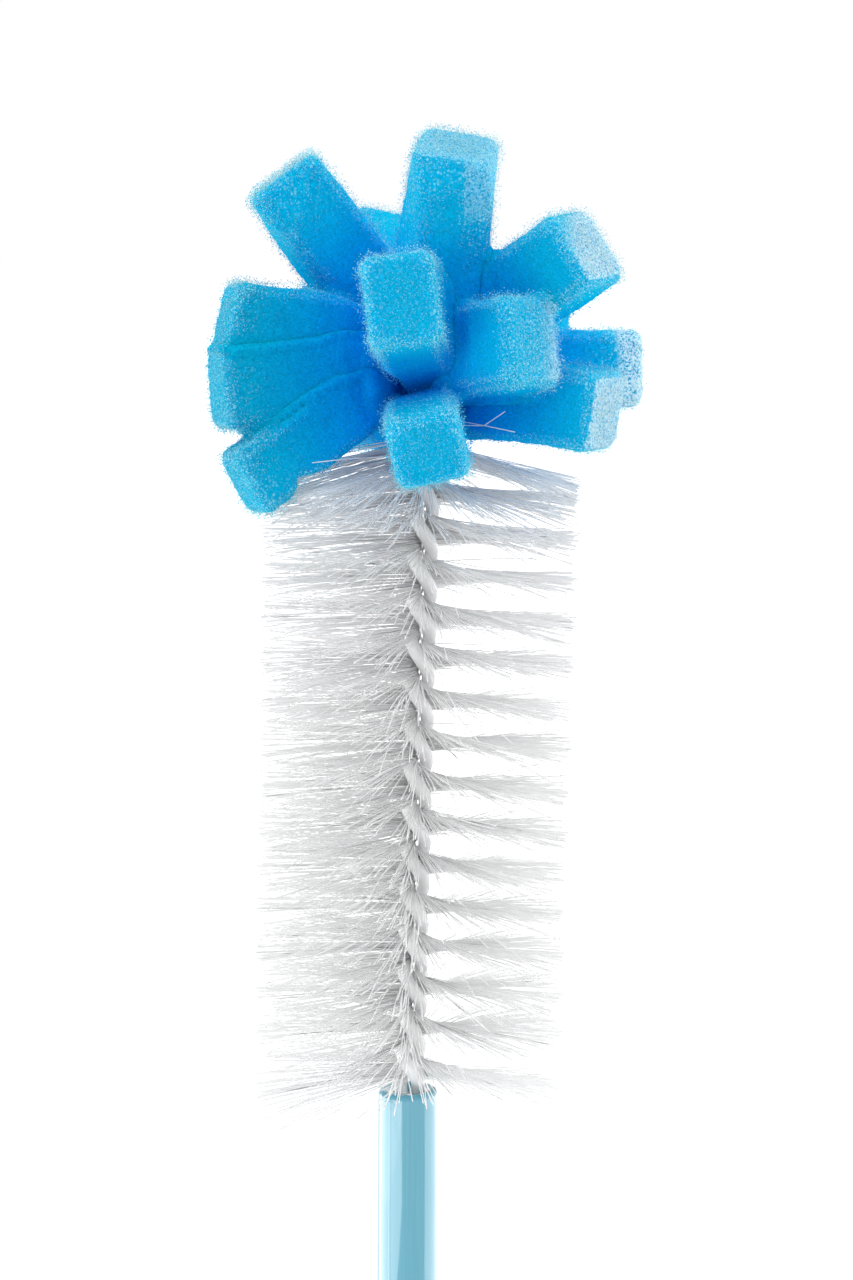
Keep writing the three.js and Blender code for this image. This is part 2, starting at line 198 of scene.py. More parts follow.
# Open-cell polyurethane foam, cut from a sheet: a deep blue body that the light soaks into, speckled
# with pale struts where the knife opened the cells, on the ends and along the edges. Painted highlight
# adds specks where ends and sides face the lamps, and painted shade deepens the blue by the hub
foam = {
    "voxel": 0.4,  # lengths are in mm
    "weld": 0.01,
    "relax": 3,
    "swell": (0.2, 1.3, 3.0),  # of free surfaces, where strips press together, and at the hub
    "hub": (8.0, 15.0),  # distance from its middle over which its own swelling and blur end
    "hubBlur": 16,
    "hubHeight": 120.0,
    "hubReach": (4.0, 32.0),  # distance over which the squeezed cells open up and the blue pales; the deep blue and the bare skin by the hub are partly squeezed cells and partly painted shade of the crease
    "pressed": (1.0, 2.5),  # distance from the next strip within which it presses
    "pressFacing": (0.1, 0.5),
    "sheltered": (1.2, 3.0),  # and within which nothing has worn the cells
    "fill": 0.9,
    # shape of the cells
    "cell": 0.8,
    "cellBrim": (0.1, 0.7),  # from a pit's bottom to its brim, in cells
    "relief": 0.16,
    "uncutRelief": 0.35,  # share of it where no cells are open
    # share of open cells
    "blur": (14, 45),
    "edge": (0.03, 0.2),  # that an edge stands out of the blurred form
    "border": (0.1, 0.6),  # and out of the more blurred one
    "edgeShare": (0.09, 0.75),  # on the sides and along the edges
    "endFacing": (0.6, 0.9),
    "endShare": (0.42, 0.98),  # on the flat of a cut, least, and most where the painted light of the right lamp falls
    "wearAndLight": (0.3, 0.66),  # painted light of the right lamp, by how far the petal heads towards +X
    "topLitShare": 0.85,  # painted top light: share on flats that look up
    "tip": (23.0, 36.0),  # distance from the hub over which sides take painted highlight too, by the petal's heading towards the lamps
    "tipLeft": (0.3, 0.7),
    "tipUp": (0.45, 0.75),
    "tipRight": (0.88, 0.94),
    "tipShare": (0.6, 1.3),  # to the left and up, and to the right
    "sideLitFrom": (6.5, 9.0),  # X from which the upright petal's right side takes a painted highlight
    "sideLitUp": (0.65, 0.8),
    # struts that stand out of open cells, each with a knob where it met others
    "endFringe": 0.8,  # share of the open cells on a flat that have them
    "strutDensity": (0.4, 22.0),  # per square millimetre, with no cells open and with all
    "strutLength": (0.08, 1.5),
    "strutRarity": 1.7,  # of long ones
    "strutRadius": 0.008,
    "sides": 3,  # of a strut and of a knob
    "knobRadius": 0.1,
    "knobRings": 2,
    "knobScale": (0.5, 1.3),
    "blueRarity": 0.6,  # of knobs that stay blue
    "tilt": 60.0,  # degrees
    "seeds": (3, 5, 7, 9, 11),  # of roots, turns, lengths, paleness and knobs
    # colours and what covers them
    "blues": ((0.0, "#013c9c"), (0.2, "#035cb8"), (0.4, "#039aec"), (1.0, "#08b8e4")),  # outwards; the darkest by the hub is partly squeezed cells and partly painted shade
    "leftShade": 0.82,  # painted shade on the farthest petals to the left, for the weaker light that reaches them
    "leftHeading": (0.62, 0.82),
    "grain": 0.35,
    "mottle": (0.8, 1.2),
    "pitDepth": 0.2,
    "speck": 0.55,
    "speckRim": (0.52, 0.22),  # from a speck's rim inwards, in specks
    "speckLuck": (0.3, 0.9),
    "speckPower": 1.6,
    "cloud": 2.4,
    "cloudShare": 0.8,  # taken off the share of open cells where a cloud is densest
    "patch": (-0.1, 0.25),
    "frayed": (0.78, 0.92),  # share of open cells at which the net between the specks shows too
    "net": (0.4, 0.6),
    "grazing": (0.6, 0.95),  # over which the fuzz gets its sheen
    "underside": (-0.6, -0.1),  # which has none, by the slope
    "paleTip": (0.15, 0.75),  # share of open cells over which struts pale
    "dotColour": "#adf7ff",  # of single worn cells, and of many together
    "netColour": "#e0f6fe",
    "soak": 0.6,
    "soakDepth": 2.0,
    "bodySoak": (0.1, 0.65, 1.2),  # red stays near, blue goes deep
    "strutSoak": (0.03, 0.03, 0.03),
}
foamHub = stemPoint(0, 0, foam["hubHeight"])


# Distance from the hub, the way a petal heads there, that way's parts, and how far its cells open up and its
# painted shade fades
def fromHub(tree, place):
    outward = addNode(tree, "ShaderNodeVectorMath", {1: foamHub}, {0: place}, operation="SUBTRACT")
    away = addNode(tree, "ShaderNodeVectorMath", links={0: outward.outputs["Vector"]}, operation="LENGTH")
    ray = addNode(tree, "ShaderNodeVectorMath", links={0: outward.outputs["Vector"]}, operation="NORMALIZE")
    heading = addNode(tree, "ShaderNodeSeparateXYZ", links={"Vector": ray.outputs["Vector"]})
    reach = addNode(tree, "ShaderNodeMapRange",
                    {"From Min": foam["hubReach"][0] * mm, "From Max": foam["hubReach"][1] * mm},
                    {"Value": away.outputs["Value"]})
    return away.outputs["Value"], ray.outputs["Vector"], heading.outputs, reach.outputs["Result"]


foamMaterial, tree, output = newMaterial("openCellPolyurethane")
coordinates = addNode(tree, "ShaderNodeTexCoord")
_, _, heading, reach = fromHub(tree, coordinates.outputs["Object"])
# Blue by the distance from the hub: deeper where cells are squeezed, and painted shade of the crease at the
# hub
blues = addNode(tree, "ShaderNodeValToRGB", links={"Fac": reach})
setRamp(blues, *foam["blues"])
grain = addNode(tree, "ShaderNodeTexNoise",
                {"Scale": 1 / (foam["grain"] * mm), "Detail": 2.0, "Roughness": 0.6},
                {"Vector": coordinates.outputs["Object"]})
mottle = addNode(tree, "ShaderNodeMapRange",
                 {"From Min": noiseLow, "From Max": noiseHigh,
                  "To Min": foam["mottle"][0], "To Max": foam["mottle"][1]}, {"Value": grain.outputs["Fac"]})
# Painted shade on the petals that head farthest to the left
leftShading = addNode(tree, "ShaderNodeMapRange",
              {"From Min": -foam["leftHeading"][0], "From Max": -foam["leftHeading"][1],
               "To Min": 1.0, "To Max": foam["leftShade"]}, {"Value": heading["X"]})
shade = addNode(tree, "ShaderNodeMath", links={0: mottle.outputs["Result"], 1: leftShading.outputs["Result"]},
                operation="MULTIPLY")
grained = addNode(tree, "ShaderNodeVectorMath",
                  links={0: blues.outputs["Color"], "Scale": shade.outputs["Value"]}, operation="SCALE")

# Pale specks where cells are open and where painted highlight falls, in patches, and the net between them
# where nearly all are
openAndLit = addNode(tree, "ShaderNodeAttribute", attribute_name="openAndLit")
specks = addNode(tree, "ShaderNodeTexVoronoi", {"Scale": 1 / (foam["speck"] * mm)},
                 {"Vector": coordinates.outputs["Object"]})
chosen = addNode(tree, "ShaderNodeSeparateColor", links={"Color": specks.outputs["Color"]})
dot = addNode(tree, "ShaderNodeMapRange",
              {"From Min": foam["speckRim"][0], "From Max": foam["speckRim"][1]},
              {"Value": specks.outputs["Distance"]})
varied = addNode(tree, "ShaderNodeMapRange",
                 {"From Min": foam["speckLuck"][0], "From Max": foam["speckLuck"][1]},
                 {"Value": chosen.outputs["Red"]})
clouds = addNode(tree, "ShaderNodeTexNoise", {"Scale": 1 / (foam["cloud"] * mm), "Detail": 1.0},
                 {"Vector": coordinates.outputs["Object"]})
spare = addNode(tree, "ShaderNodeMath", {1: -foam["cloudShare"]},
                {0: clouds.outputs["Fac"], 2: openAndLit.outputs["Fac"]}, operation="MULTIPLY_ADD")
patch = addNode(tree, "ShaderNodeMapRange",
                {"From Min": foam["patch"][0], "From Max": foam["patch"][1]},
                {"Value": spare.outputs["Value"]})
wearAndLight = addNode(tree, "ShaderNodeMath", {1: foam["speckPower"]}, {0: openAndLit.outputs["Fac"]}, operation="POWER")
frayed = addNode(tree, "ShaderNodeMapRange",
                 {"From Min": foam["frayed"][0], "From Max": foam["frayed"][1]},
                 {"Value": openAndLit.outputs["Fac"]})
net = addNode(tree, "ShaderNodeMapRange", {"From Min": foam["net"][0], "From Max": foam["net"][1]},
              {"Value": grain.outputs["Fac"], "To Max": frayed.outputs["Result"]})
dotted = addNode(tree, "ShaderNodeMath", links={0: varied.outputs["Result"], 1: dot.outputs["Result"]},
                 operation="MULTIPLY")
speckled = addNode(tree, "ShaderNodeMath", links={0: dotted.outputs["Value"], 1: net.outputs["Result"]},
                   operation="MAXIMUM")
shown = addNode(tree, "ShaderNodeMath", links={0: wearAndLight.outputs["Value"], 1: patch.outputs["Result"]},
                operation="MULTIPLY")

# Fuzz: at grazing angles the struts stand one behind the other, which gives the outline a pale sheen.
# It is mixed into the colour, not set as the shader's sheen, so it follows the view.
fuzz = addNode(tree, "ShaderNodeLayerWeight", {"Blend": 0.5})
surface = addNode(tree, "ShaderNodeNewGeometry")
slope = addNode(tree, "ShaderNodeSeparateXYZ", links={"Vector": surface.outputs["Normal"]})
upper = addNode(tree, "ShaderNodeMapRange",
                {"From Min": foam["underside"][0], "From Max": foam["underside"][1]},
                {"Value": slope.outputs["Z"], "To Max": reach})
grazed = addNode(tree, "ShaderNodeMapRange",
                 {"From Min": foam["grazing"][0], "From Max": foam["grazing"][1]},
                 {"Value": fuzz.outputs["Facing"], "To Max": upper.outputs["Result"]})
shownMost = addNode(tree, "ShaderNodeMath", links={0: shown.outputs["Value"], 1: grazed.outputs["Result"]},
                    operation="MAXIMUM")
pale = addNode(tree, "ShaderNodeMath", links={0: shownMost.outputs["Value"], 1: speckled.outputs["Value"]},
               operation="MULTIPLY", use_clamp=True)
dotColour = addNode(tree, "ShaderNodeMix",
                    {"A": linear(foam["dotColour"]), "B": linear(foam["netColour"])},
                    {"Factor": frayed.outputs["Result"]}, data_type="RGBA")
skinColour = addNode(tree, "ShaderNodeMix",
                     links={"Factor": pale.outputs["Value"], "A": grained.outputs["Vector"],
                            "B": dotColour.outputs["Result"]}, data_type="RGBA")

# Struts: each is pale by its own chance, and the light goes less far into it
strut = addNode(tree, "ShaderNodeAttribute", attribute_name="strut")
bleached = addNode(tree, "ShaderNodeAttribute", attribute_name="bleached")
paleTip = addNode(tree, "ShaderNodeMapRange",
                  {"From Min": foam["paleTip"][0], "From Max": foam["paleTip"][1]},
                  {"Value": openAndLit.outputs["Fac"]})
whitened = addNode(tree, "ShaderNodeMath",
                   links={0: bleached.outputs["Fac"], 1: paleTip.outputs["Result"]}, operation="MULTIPLY")
tipped = addNode(tree, "ShaderNodeMath", links={0: strut.outputs["Fac"], 1: whitened.outputs["Value"]},
                 operation="MULTIPLY")
foamColour = addNode(tree, "ShaderNodeMix",
                     links={"Factor": tipped.outputs["Value"], "A": skinColour.outputs["Result"],
                            "B": dotColour.outputs["Result"]}, data_type="RGBA")
pits = addNode(tree, "ShaderNodeBump", {"Strength": 0.5, "Distance": foam["pitDepth"] * mm},
               {"Height": grain.outputs["Fac"]})
soaked = addNode(tree, "ShaderNodeMapRange", {"To Min": foam["soak"]}, {"Value": strut.outputs["Fac"]})
spread = addNode(tree, "ShaderNodeMix", {"A": foam["bodySoak"], "B": foam["strutSoak"]},
                 {"Factor": strut.outputs["Fac"]}, data_type="VECTOR")
shader = addNode(tree, "ShaderNodeBsdfPrincipled",
                 {"Roughness": 0.9, "Specular IOR Level": 0.0, "Subsurface Scale": foam["soakDepth"] * mm},
                 {"Base Color": foamColour.outputs["Result"], "Subsurface Weight": soaked.outputs["Result"],
                  "Subsurface Radius": spread.outputs["Result"], "Normal": pits.outputs["Normal"]})
tree.links.new(shader.outputs["BSDF"], output.inputs["Surface"])

# Geometry of the cells. How far each point stands out of the blurred form tells edges from flats.
cells = bpy.data.node_groups.new("foamCells", "GeometryNodeTree")
cells.interface.new_socket("Geometry", in_out="INPUT", socket_type="NodeSocketGeometry")
cells.interface.new_socket("Geometry", in_out="OUTPUT", socket_type="NodeSocketGeometry")
body = addNode(cells, "NodeGroupInput")
position = addNode(cells, "GeometryNodeInputPosition")
normal = addNode(cells, "GeometryNodeInputNormal")
standing = []
for iterations, (low, high) in zip(foam["blur"], (foam["edge"], foam["border"])):
    blurred = addNode(cells, "GeometryNodeBlurAttribute", {"Iterations": iterations},
                      data_type="FLOAT_VECTOR")
    cells.links.new(position.outputs["Position"], blurred.inputs["Value"])
    proud = addNode(cells, "ShaderNodeVectorMath",
                    links={0: position.outputs["Position"], 1: blurred.outputs["Value"]},
                    operation="SUBTRACT")
    height = addNode(cells, "ShaderNodeVectorMath",
                     links={0: proud.outputs["Vector"], 1: normal.outputs["Normal"]},
                     operation="DOT_PRODUCT")
    standing.append(addNode(cells, "ShaderNodeMapRange",
                            {"From Min": low * mm, "From Max": high * mm,
                             "To Min": foam["edgeShare"][0], "To Max": foam["edgeShare"][1]},
                            {"Value": height.outputs["Value"]}).outputs["Result"])
edged, bordered = standing

# Flat ends: open cells, with painted highlight where the petal heads towards the right lamp or up
away, ray, heading, reach = fromHub(cells, position.outputs["Position"])
facing = addNode(cells, "ShaderNodeVectorMath", links={0: ray, 1: normal.outputs["Normal"]},
                 operation="DOT_PRODUCT")
endOpenAndRightLit = addNode(cells, "ShaderNodeMapRange",
               {"From Min": foam["wearAndLight"][0], "From Max": foam["wearAndLight"][1],
                "To Min": foam["endShare"][0], "To Max": foam["endShare"][1]},
               {"Value": heading["X"]})
endTopLit = addNode(cells, "ShaderNodeMapRange",
                 {"From Min": foam["tipUp"][0], "From Max": foam["tipUp"][1], "To Max": foam["topLitShare"]},
                 {"Value": heading["Z"]})
flatOpenAndLit = addNode(cells, "ShaderNodeMath", links={0: endOpenAndRightLit.outputs["Result"], 1: endTopLit.outputs["Result"]},
                   operation="MAXIMUM")
endOpenEdgedAndLit = addNode(cells, "ShaderNodeMath", links={0: flatOpenAndLit.outputs["Value"], 1: bordered},
                  operation="MAXIMUM")
ended = addNode(cells, "ShaderNodeMapRange",
                {"From Min": foam["endFacing"][0], "From Max": foam["endFacing"][1]},
                {"Value": facing.outputs["Value"], "To Max": endOpenEdgedAndLit.outputs["Value"]})

# Sides: painted highlight near the tip on petals that head left, up or right, towards the lamps
left = addNode(cells, "ShaderNodeMapRange",
               {"From Min": -foam["tipLeft"][0], "From Max": -foam["tipLeft"][1],
                "To Max": foam["tipShare"][0]}, {"Value": heading["X"]})
up = addNode(cells, "ShaderNodeMapRange",
             {"From Min": foam["tipUp"][0], "From Max": foam["tipUp"][1], "To Max": foam["tipShare"][0]},
             {"Value": heading["Z"]})
right = addNode(cells, "ShaderNodeMapRange",
                {"From Min": foam["tipRight"][0], "From Max": foam["tipRight"][1],
                 "To Max": foam["tipShare"][1]}, {"Value": heading["X"]})
leftOrUp = addNode(cells, "ShaderNodeMath", links={0: left.outputs["Result"], 1: up.outputs["Result"]},
                   operation="MAXIMUM")
tipLight = addNode(cells, "ShaderNodeMath",
                  links={0: leftOrUp.outputs["Value"], 1: right.outputs["Result"]}, operation="MAXIMUM")
tipSideLight = addNode(cells, "ShaderNodeMapRange",
                  {"From Min": foam["tip"][0] * mm, "From Max": foam["tip"][1] * mm},
                  {"Value": away, "To Max": tipLight.outputs["Value"]})
# Painted highlight on the right side of the upright petal
sideLitUp = addNode(cells, "ShaderNodeMapRange",
                   {"From Min": foam["sideLitUp"][0], "From Max": foam["sideLitUp"][1],
                    "To Max": foam["topLitShare"]}, {"Value": heading["Z"]})
place = addNode(cells, "ShaderNodeSeparateXYZ", links={"Vector": position.outputs["Position"]})
uprightSideLight = addNode(cells, "ShaderNodeMapRange",
                 {"From Min": foam["sideLitFrom"][0] * mm, "From Max": foam["sideLitFrom"][1] * mm},
                 {"Value": place.outputs["X"], "To Max": sideLitUp.outputs["Result"]})
sideLights = addNode(cells, "ShaderNodeMath",
                    links={0: uprightSideLight.outputs["Result"], 1: tipSideLight.outputs["Result"]}, operation="MAXIMUM")
sides = addNode(cells, "ShaderNodeMath", links={0: edged, 1: sideLights.outputs["Value"]},
                operation="MAXIMUM")

# The shares of open cells with their painted highlight, and of struts, kept as attributes for the points and
# the material
clear = addNode(cells, "GeometryNodeInputNamedAttribute", {"Name": "clear"}, data_type="FLOAT")
opened = addNode(cells, "ShaderNodeMath", links={0: reach, 1: clear.outputs["Attribute"]},
                 operation="MULTIPLY")
sideOpenAndLit = addNode(cells, "ShaderNodeMath", links={0: sides.outputs["Value"], 1: opened.outputs["Value"]},
                  operation="MULTIPLY")
endOpenAndLit = addNode(cells, "ShaderNodeMath", links={0: ended.outputs["Result"], 1: reach},
                 operation="MULTIPLY")
openAndLitShare = addNode(cells, "ShaderNodeMath",
                   links={0: sideOpenAndLit.outputs["Value"], 1: endOpenAndLit.outputs["Value"]}, operation="MAXIMUM")
edgeFringe = addNode(cells, "ShaderNodeMath", links={0: edged, 1: opened.outputs["Value"]},
                     operation="MULTIPLY")
endFringe = addNode(cells, "ShaderNodeMath", {1: foam["endFringe"]}, {0: endOpenAndLit.outputs["Value"]},
                    operation="MULTIPLY")
fringeShare = addNode(cells, "ShaderNodeMath",
                      links={0: edgeFringe.outputs["Value"], 1: endFringe.outputs["Value"]},
                      operation="MAXIMUM")
fringed = addNode(cells, "GeometryNodeStoreNamedAttribute", {"Name": "fringe"},
                  {"Geometry": body.outputs["Geometry"], "Value": fringeShare.outputs["Value"]},
                  data_type="FLOAT")
marked = addNode(cells, "GeometryNodeStoreNamedAttribute", {"Name": "openAndLit"},
                 {"Geometry": fringed.outputs["Geometry"], "Value": openAndLitShare.outputs["Value"]},
                 data_type="FLOAT")

# Skin: pitted with cells, swollen where strips press together, and eased into one form at the hub
openAndLitMark = addNode(cells, "GeometryNodeInputNamedAttribute", {"Name": "openAndLit"}, data_type="FLOAT")
pattern = addNode(cells, "ShaderNodeTexVoronoi", {"Scale": 1 / (foam["cell"] * mm)},
                  {"Vector": position.outputs["Position"]})
depth = addNode(cells, "ShaderNodeMapRange",
                {"From Min": foam["cellBrim"][0], "From Max": foam["cellBrim"][1],
                 "To Min": -foam["relief"] * mm, "To Max": foam["relief"] * mm},
                {"Value": pattern.outputs["Distance"]})
pitted = addNode(cells, "ShaderNodeMapRange", {"To Min": foam["uncutRelief"]},
                 {"Value": openAndLitMark.outputs["Attribute"]})
free = addNode(cells, "GeometryNodeInputNamedAttribute", {"Name": "free"}, data_type="FLOAT")
freeSwell, pressedSwell, hubSwell = (swell * mm for swell in foam["swell"])
bulge = addNode(cells, "ShaderNodeMapRange", {"To Min": pressedSwell, "To Max": freeSwell},
                {"Value": free.outputs["Attribute"]})
filling = addNode(cells, "ShaderNodeMapRange",
                  {"From Min": foam["hub"][0] * mm, "From Max": foam["hub"][1] * mm,
                   "To Min": hubSwell, "To Max": 0.0}, {"Value": away})
fuller = addNode(cells, "ShaderNodeMath", links={0: bulge.outputs["Result"], 1: filling.outputs["Result"]},
                 operation="ADD")
raised = addNode(cells, "ShaderNodeMath",
                 links={0: depth.outputs["Result"], 1: pitted.outputs["Result"], 2: fuller.outputs["Value"]},
                 operation="MULTIPLY_ADD")
push = addNode(cells, "ShaderNodeVectorMath",
               links={0: normal.outputs["Normal"], "Scale": raised.outputs["Value"]}, operation="SCALE")
pushed = addNode(cells, "GeometryNodeSetPosition",
                 links={"Geometry": marked.outputs["Geometry"], "Offset": push.outputs["Vector"]})
inHub = addNode(cells, "ShaderNodeMapRange",
                {"From Min": foam["hub"][0] * mm, "From Max": foam["hub"][1] * mm,
                 "To Min": 1.0, "To Max": 0.0}, {"Value": away})
eased = addNode(cells, "GeometryNodeBlurAttribute", {"Iterations": foam["hubBlur"]},
                {"Weight": inHub.outputs["Result"]}, data_type="FLOAT_VECTOR")
cells.links.new(position.outputs["Position"], eased.inputs["Value"])
skin = addNode(cells, "GeometryNodeSetPosition",
               links={"Geometry": pushed.outputs["Geometry"], "Position": eased.outputs["Value"]})

# Struts: hair-thin stalks, each with a knob at its tip
rootSeed, turnSeed, lengthSeed, paleSeed, knobSeed = foam["seeds"]
fringe = addNode(cells, "GeometryNodeInputNamedAttribute", {"Name": "fringe"}, data_type="FLOAT")
low, high = (count / mm ** 2 for count in foam["strutDensity"])
density = addNode(cells, "ShaderNodeMapRange", {"To Min": low, "To Max": high},
                  {"Value": fringe.outputs["Attribute"]})
roots = addNode(cells, "GeometryNodeDistributePointsOnFaces", {"Seed": rootSeed},
                {"Mesh": skin.outputs["Geometry"], "Density": density.outputs["Result"]})
tilt = math.radians(foam["tilt"])
turn = addNode(cells, "FunctionNodeRandomValue",
               {"Min": (-tilt, -tilt, 0), "Max": (tilt, tilt, math.tau), "Seed": turnSeed},
               data_type="FLOAT_VECTOR")
aim = addNode(cells, "FunctionNodeRotateRotation",
              links={"Rotation": roots.outputs["Rotation"], "Rotate By": turn.outputs["Value"]},
              rotation_space="LOCAL")
luck = addNode(cells, "FunctionNodeRandomValue", {"Seed": lengthSeed}, data_type="FLOAT")
few = addNode(cells, "ShaderNodeMath", {1: foam["strutRarity"]}, {0: luck.outputs["Value"]},
              operation="POWER")
low, high = (length * mm for length in foam["strutLength"])
length = addNode(cells, "ShaderNodeMapRange", {"To Min": low, "To Max": high},
                 {"Value": few.outputs["Value"]})
chance = addNode(cells, "FunctionNodeRandomValue", {"Seed": paleSeed}, data_type="FLOAT")
paleness = addNode(cells, "ShaderNodeMath", {1: foam["blueRarity"]}, {0: chance.outputs["Value"]},
                   operation="POWER")
bleached = addNode(cells, "GeometryNodeStoreNamedAttribute", {"Name": "bleached"},
                   {"Geometry": roots.outputs["Points"], "Value": paleness.outputs["Value"]},
                   data_type="FLOAT")
stalk = addNode(cells, "GeometryNodeMeshCone",
                {"Vertices": foam["sides"], "Radius Top": 0.0, "Radius Bottom": foam["strutRadius"] * mm,
                 "Depth": 1.0}, fill_type="NONE")
size = addNode(cells, "ShaderNodeCombineXYZ", {"X": 1.0, "Y": 1.0}, {"Z": length.outputs["Result"]})
stalks = addNode(cells, "GeometryNodeInstanceOnPoints",
                 links={"Points": bleached.outputs["Geometry"], "Instance": stalk.outputs["Mesh"],
                        "Rotation": aim.outputs["Rotation"], "Scale": size.outputs["Vector"]})
upright = addNode(cells, "ShaderNodeCombineXYZ", links={"Z": length.outputs["Result"]})
leaning = addNode(cells, "FunctionNodeRotateVector",
                  links={"Vector": upright.outputs["Vector"], "Rotation": aim.outputs["Rotation"]})
tips = addNode(cells, "GeometryNodeSetPosition",
               links={"Geometry": bleached.outputs["Geometry"], "Offset": leaning.outputs["Vector"]})
knob = addNode(cells, "GeometryNodeMeshUVSphere",
               {"Radius": foam["knobRadius"] * mm, "Segments": foam["sides"], "Rings": foam["knobRings"]})
knobSize = addNode(cells, "FunctionNodeRandomValue",
                   {"Min": foam["knobScale"][0], "Max": foam["knobScale"][1], "Seed": knobSeed},
                   data_type="FLOAT")
knobs = addNode(cells, "GeometryNodeInstanceOnPoints",
                links={"Points": tips.outputs["Geometry"], "Instance": knob.outputs["Mesh"],
                       "Rotation": aim.outputs["Rotation"], "Scale": knobSize.outputs["Value"]})
netting = addNode(cells, "GeometryNodeJoinGeometry")
cells.links.new(stalks.outputs["Instances"], netting.inputs["Geometry"])
cells.links.new(knobs.outputs["Instances"], netting.inputs["Geometry"])
solid = addNode(cells, "GeometryNodeRealizeInstances", links={"Geometry": netting.outputs["Geometry"]})
struts = addNode(cells, "GeometryNodeStoreNamedAttribute", {"Name": "strut", "Value": 1.0},
                 {"Geometry": solid.outputs["Geometry"]}, data_type="FLOAT")
joined = addNode(cells, "GeometryNodeJoinGeometry")
cells.links.new(struts.outputs["Geometry"], joined.inputs["Geometry"])
cells.links.new(skin.outputs["Geometry"], joined.inputs["Geometry"])
addNode(cells, "NodeGroupOutput", links={"Geometry": joined.outputs["Geometry"]})

# Strips: the CAD solids with a fine soft skin, which learns where the others press on it and shelter it
strips = {}
for nodeName in sorted(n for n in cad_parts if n.startswith("foam_strip")):
    bm = bmesh.new()
    bm.from_mesh(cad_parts[nodeName].data)
    bmesh.ops.remove_doubles(bm, verts=bm.verts, dist=foam["weld"] * mm)
    piece = newObject(nodeName.replace("foam_strip", "foamStrip"), meshFrom(bm, nodeName))
    fine = piece.modifiers.new("fine", "REMESH")
    fine.mode = "VOXEL"
    fine.voxel_size = foam["voxel"] * mm
    relax = piece.modifiers.new("relax", "SMOOTH")
    relax.iterations = foam["relax"]
    strips[nodeName] = flatten(piece)
skins = {}
for nodeName, piece in strips.items():
    bm = bmesh.new()
    bm.from_mesh(piece.data)
    skins[nodeName] = BVHTree.FromBMesh(bm)
    bm.free()
for nodeName, piece in strips.items():
    others = [other for name, other in skins.items() if name != nodeName]
    freeShares, clearShares = [], []
    for vertex in piece.data.vertices:
        press = shelter = 0.0
        for other in others:
            nearest, _, _, distance = other.find_nearest(vertex.co, foam["sheltered"][1] * mm)
            if nearest:
                toward = (nearest - vertex.co).normalized().dot(vertex.normal)
                near = 1 - smoothStep(distance / mm, *foam["pressed"])
                press = max(press, near * smoothStep(toward, *foam["pressFacing"]))
                shelter = max(shelter, 1 - smoothStep(distance / mm, *foam["sheltered"]))
        freeShares.append(1 - press)
        clearShares.append(1 - shelter)
    piece.data.attributes.new("free", "FLOAT", "POINT").data.foreach_set("value", freeShares)
    piece.data.attributes.new("clear", "FLOAT", "POINT").data.foreach_set("value", clearShares)
    cellular = piece.modifiers.new("cells", "NODES")
    cellular.node_group = cells
    piece = flatten(piece)
    finishPiece(piece, foamMaterial, "foam", nodeName)
print("foam strips made")


# Nylon filaments: extruded, so smooth and milky, each of its own white, in a row that the wire twists
# into a screw. The foam presses the topmost down, and the lowest fan out over the handle's rim.
bristles = {
    "bottom": 1.8,  # heights above the rim and lengths in mm, spreads in degrees
    "top": 109.5,
    "radius": 25.6,
    "offCentre": 0.5,  # that the cut lies towards -X of the stem
    "trim": 0.3,
    "perSection": 660,  # on each side of the wire
    "filamentRadius": 0.085,
    "roundness": 0,
    "azimuthSpread": 4.0,
    "tiltSpread": 1.6,
    "clump": 0.5,  # length of the row that holds together
    "clumpSpread": 0.9,
    "strays": 0.03,
    "strayFactor": 5.0,
    "sag": 2.8,
    "bow": 2.0,
    "crown": (13.0, 13.0),  # length of the row that is pressed down, and by how much
    "skirt": (5.0, 9.0),  # and that fans out
    "stops": (0.02, 0.12, 0.35, 0.68, 1.0),  # points along a filament
    "hooked": [  # filaments bent up in front of the foam: distance from the stem, azimuth and height
        [(0.5, -85, 107), (8, -76, 111), (15.1, -67.8, 113.4), (18.5, -59.8, 113), (22.8, -52.2, 112.3)],
        [(0.5, -84, 107), (8, -75, 110.6), (15.2, -67, 112.8), (18.4, -60.2, 113), (21, -53.9, 115.4)],
    ],
    "seed": 40,
    "whites": ((0.0, "#f4f5f6"), (1.0, "#fdfdfd")),  # by chance
}

nylonMaterial, tree, output = newMaterial("extrudedNylon")
surface = addNode(tree, "ShaderNodeNewGeometry")
nylonColour = addNode(tree, "ShaderNodeValToRGB", links={"Fac": surface.outputs["Random Per Island"]})
setRamp(nylonColour, *bristles["whites"])
shader = addNode(tree, "ShaderNodeBsdfPrincipled",
                 {"Roughness": 0.35, "IOR": 1.53, "Subsurface Weight": 0.9,
                  "Subsurface Radius": (1.0, 1.0, 1.0), "Subsurface Scale": 0.3 * mm},
                 {"Base Color": nylonColour.outputs["Color"]})
tree.links.new(shader.outputs["BSDF"], output.inputs["Surface"])

